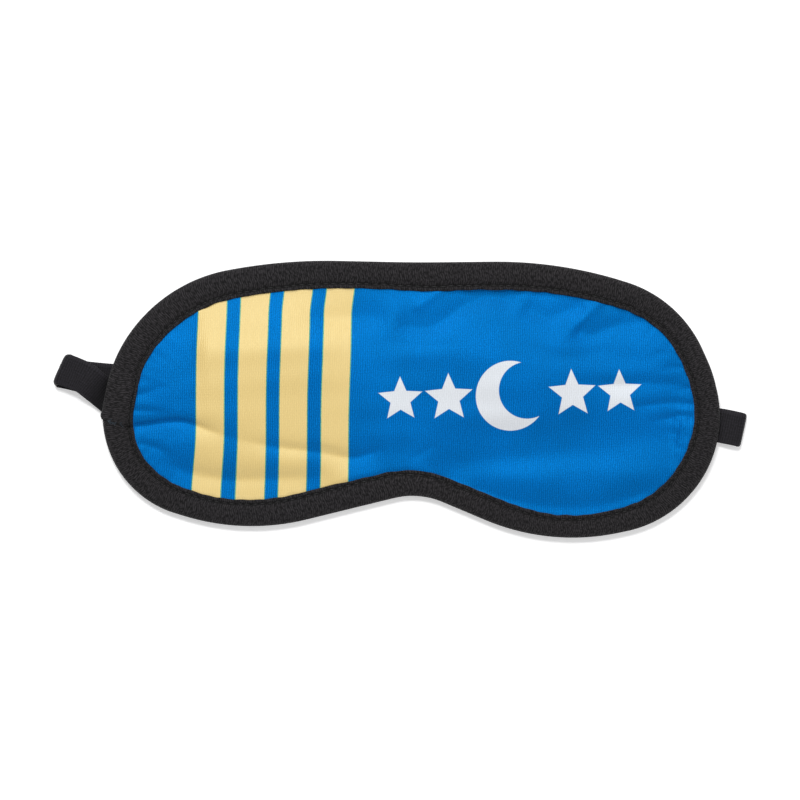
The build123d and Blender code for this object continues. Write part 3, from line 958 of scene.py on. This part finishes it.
def strap_path():
    """The strap's middle line from its left sewn end to its right one, the direction of its width, its half width,
    and how far in its edges are pulled where it folds."""
    left_dir, left_across = fold_frame(LEFT_HEADING)
    right_dir, right_across = fold_frame(RIGHT_HEADING)
    left_start = LEFT_FOLD + left_dir * (BIGHT_REACH + STRAP / 2) + left_across * LEFT_ASIDE
    right_start = RIGHT_FOLD + right_dir * (BIGHT_REACH + STRAP / 2 - RIGHT_AHEAD)
    left_shift, right_shift = left_across * LEFT_SKEW, right_across * RIGHT_SKEW
    rows = []

    def add(point, z, across, half, pull):
        rows.append((*point, z, *(across / np.linalg.norm(across)), half, *pull))

    def bight(start, direction, drift, middle, radius, across, half, corner):
        for angle in np.linspace(0, math.pi, 13)[1:-1]:
            point = start - direction * BIGHT_REACH * math.sin(angle) + drift * (angle / math.pi)
            add(point, middle + radius * math.cos(angle), across, half, direction * corner)

    # The left tab, from its sewn end out to the fold: it climbs from under the mask, then runs level.
    line, run, heading = flat_run([LEFT_SEWN, LEFT_TURN, left_start], [TURN_RADIUS], 0.8)
    top = LOW_Z + 2 * LEFT_BIGHT
    for point, distance, d in zip(line, run, heading):
        near = float(bell(run[-1] - distance, 0, FOLD_REACH))
        z = LEFT_TAB_Z + (top - LEFT_TAB_Z) * smooth(distance, 6.5, 16.0)
        across = (1 - near) * np.array([-d[1], d[0]]) - near * left_across
        add(point, z, across, TAB_HALF + 0.15 * smooth(distance, 9, run[-1]), left_dir * LEFT_CORNER * near**3)
    # The bight. The strap isn't folded quite square, so the lower layer comes out a little to one side.
    bight(left_start, left_dir, left_shift, LOW_Z + LEFT_BIGHT, LEFT_BIGHT, -left_across, FOLD_HALF, LEFT_CORNER)
    # The lower layer, across under the mask.
    route = [left_start + left_shift, LEFT_TURN, UNDER_TURN, RIGHT_TURN, right_start]
    line, run, heading = flat_run(route, [TURN_RADIUS, 150, 60], 1.0)
    for point, distance, d in zip(line, run, heading):
        from_left, from_right = distance, run[-1] - distance
        lift = 0.10 * (1 + math.sin(distance / 17.0)) * smooth(from_left, 4, 25) * smooth(from_right, 4, 25)
        near_left, near_right = float(bell(from_left, 0, FOLD_REACH)), float(bell(from_right, 0, FOLD_REACH))
        across = (1 - near_left - near_right) * np.array([d[1], -d[0]])
        across = across - near_left * left_across + near_right * right_across
        pull = left_dir * LEFT_CORNER * near_left**3 + right_dir * RIGHT_CORNER * near_right**3
        add(point, LOW_Z + lift, across, RUN_THIN + 0.3 * smooth(from_left, 8, 30), pull)
    bight(right_start, right_dir, right_shift, LOW_Z + RIGHT_BIGHT, -RIGHT_BIGHT, right_across, RUN_WIDE, RIGHT_CORNER)
    # The right tab, from its fold down to its sewn end.
    line, run, heading = flat_run([right_start + right_shift, RIGHT_TURN + right_shift, RIGHT_SEWN], [60], 0.8)
    top = LOW_Z + 2 * RIGHT_BIGHT
    for point, distance, d in zip(line, run, heading):
        near = float(bell(distance, 0, FOLD_REACH))
        z = top + (RIGHT_TAB_Z - top) * smooth(distance, 2.0, 8.0)
        across = (1 - near) * np.array([-d[1], d[0]]) + near * right_across
        add(point, z, across, FOLD_HALF + 0.15 * smooth(distance, 0, 8), right_dir * RIGHT_CORNER * near**3)
    return np.array(rows)


def build_strap():
    rows = strap_path()
    path = rows[:, :3]
    width, pull = (np.column_stack([rows[:, k : k + 2], np.zeros(len(rows))]) for k in (3, 6))
    up = unit(np.cross(headings(path), width))
    half, thick, round_off = STRAP_WIDTH / 2, STRAP / 2, 0.28
    stretch = rows[:, 5] / half
    section = []
    for side in (1, -1):
        xs = np.linspace(half - 0.9, -half + 0.9, 9) * side
        section += [(x, thick * side * (1 - 0.06 * math.cos(x * 2.2))) for x in xs]
        section += [(-(half - round_off) * side, thick * 0.97 * side), (-half * side, 0.42 * thick * side)]
        section += [(-half * side, -0.42 * thick * side), (-(half - round_off) * side, -thick * 0.97 * side)]
    section = np.array(section)
    rings = path[:, None, :] + section[None, :, 0, None] * (width * stretch[:, None])[:, None, :]
    rings += section[None, :, 1, None] * up[:, None, :]
    rings += pull[:, None, :] * (np.abs(section[:, 0]) / half)[None, :, None] ** 9
    rings[:, :, 2] = np.maximum(rings[:, :, 2], 0.02)
    sides = len(section)
    faces, grid = tube_faces(len(path), sides)
    along = length_along(path)
    # Both faces take their place across the strap from the width itself, so the selvages line up.
    across = np.append(section[:, 0], section[0, 0]) + half
    uv = [(along[i], across[j]) for corners in grid for i, j in corners]
    points = rings.reshape(-1, 3)
    for base, flip in ((0, True), ((len(path) - 1) * sides, False)):
        face = [base + k for k in range(sides)]
        faces.append(face[::-1] if flip else face)
        uv += [(along[0], across[k]) for k in range(sides)]
    strap = make_object("strap", points, faces, elastic_cloth, uv)
    return strap, path, along, sides


strap, strap_line, strap_along, strap_sides = build_strap()

# ---- bodies, hidden CAD parts and weights along the strap

for piece, node, slot in (
    (cover, "front_fabric", "printed_cloth"),
    (foam, "foam_pad", "foam"),
    (lining, "back_lining", "lining_cloth"),
    (binding, "binding_tape", "tape"),
    (tape_fray, "binding_tape", "tape"),
    (needle_stitches, "needle_thread", "black_thread"),
    (bobbin_stitches, "bobbin_thread", "black_thread"),
    (tack_left, "left_bartack", "black_thread"),
    (tack_right, "right_bartack", "black_thread"),
):
    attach(piece, "mask")
    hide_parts(node)

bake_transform(strap)
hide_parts("strap_left_end", "strap_run", "strap_right_end")

# Weights along the strap: 1 over each end where it is sewn to the mask, 0 over its own run in the middle, and changing
# between.
SEWN_LENGTH = 12.0  # how much of each end has the full weight
SOFT_CORNER = 0.12  # how gently the weights rise from 0 at each end of the strap's run
on_floor = strap_line[:, 2] < 0.8
run_start, run_end = (
    strap_along[np.argmin(np.where(on_floor, np.abs(strap_line[:, 0] - x), 1e9))] for x in (-RUN_HALF, RUN_HALF)
)
total = strap_along[-1]
stops = [0, SEWN_LENGTH, run_start, run_end, total - SEWN_LENGTH, total]
weights = np.interp(strap_along, stops, [1, 1, 0, 0, 1, 1])
weights = weights**2 * (1 + SOFT_CORNER) / (weights + SOFT_CORNER)

# ---- floor, lights and camera

FLOOR_GLOW = 0.35  # a lit floor, like a light table, so the shadows stay faint
floor_finish = Shader("floor")
floor_finish.feed(floor_finish.surface, {"Emission Color": WHITE_LIGHT, "Emission Strength": FLOOR_GLOW})
floor_finish.finish((0.93, 0.93, 0.935, 1), roughness=0.9, specular=0.1)
bpy.ops.mesh.primitive_plane_add(size=6, location=(0, 0, -0.0001))
floor = bpy.context.object
floor.name = "floor"
floor.data.materials.append(floor_finish.material)


def soft_box(name, place, size, power, colour=(1, 1, 1)):
    """A soft rectangular light that faces the mask."""
    light = bpy.data.lights.new(name, "AREA")
    light.shape = "RECTANGLE"
    light.size, light.size_y = size
    light.energy = power
    light.color = colour
    obj = add_object(name, light)
    obj.location = place
    obj.rotation_mode = "QUATERNION"
    obj.rotation_quaternion = (-Vector(place)).to_track_quat("-Z", "Y")


soft_box("key", (-0.30, 1.05, 0.80), (0.6, 0.35), 7.5)
soft_box("gloss", (-0.10, 0.50, 1.15), (0.30, 0.20), 8.0)
soft_box("fill", (0.3, -1.1, 1.0), (1.2, 0.4), 4.2)
soft_box("side", (1.2, 0.1, 0.9), (0.6, 1.0), 1.7)

world = bpy.data.worlds.new("studio")
world.use_nodes = True
background = world.node_tree.nodes["Background"].inputs
background["Color"].default_value = WHITE_LIGHT
background["Strength"].default_value = 0.26
bpy.context.scene.world = world
bpy.context.scene.view_settings.view_transform = "Standard"

# The camera looks straight down, turned a little, from far enough away for an even scale over the mask.
CAMERA_HEIGHT, FRAME_WIDTH, CAMERA_TURN = 1204.0, 259.5, math.radians(1.22)
FRAME_HEIGHT = 4.0  # where the frame's width is measured, about halfway up the mask
SENSOR_WIDTH = 36
camera = bpy.data.cameras.new("camera")
camera.sensor_width = SENSOR_WIDTH
camera.lens = SENSOR_WIDTH * (CAMERA_HEIGHT - FRAME_HEIGHT) / FRAME_WIDTH
camera.clip_start, camera.clip_end = 0.05, 20
camera_object = add_object("camera", camera)
camera_object.location = (-3.7 * MM, -0.74 * MM, CAMERA_HEIGHT * MM)
camera_object.rotation_euler = (0, 0, CAMERA_TURN)
bpy.context.scene.camera = camera_object
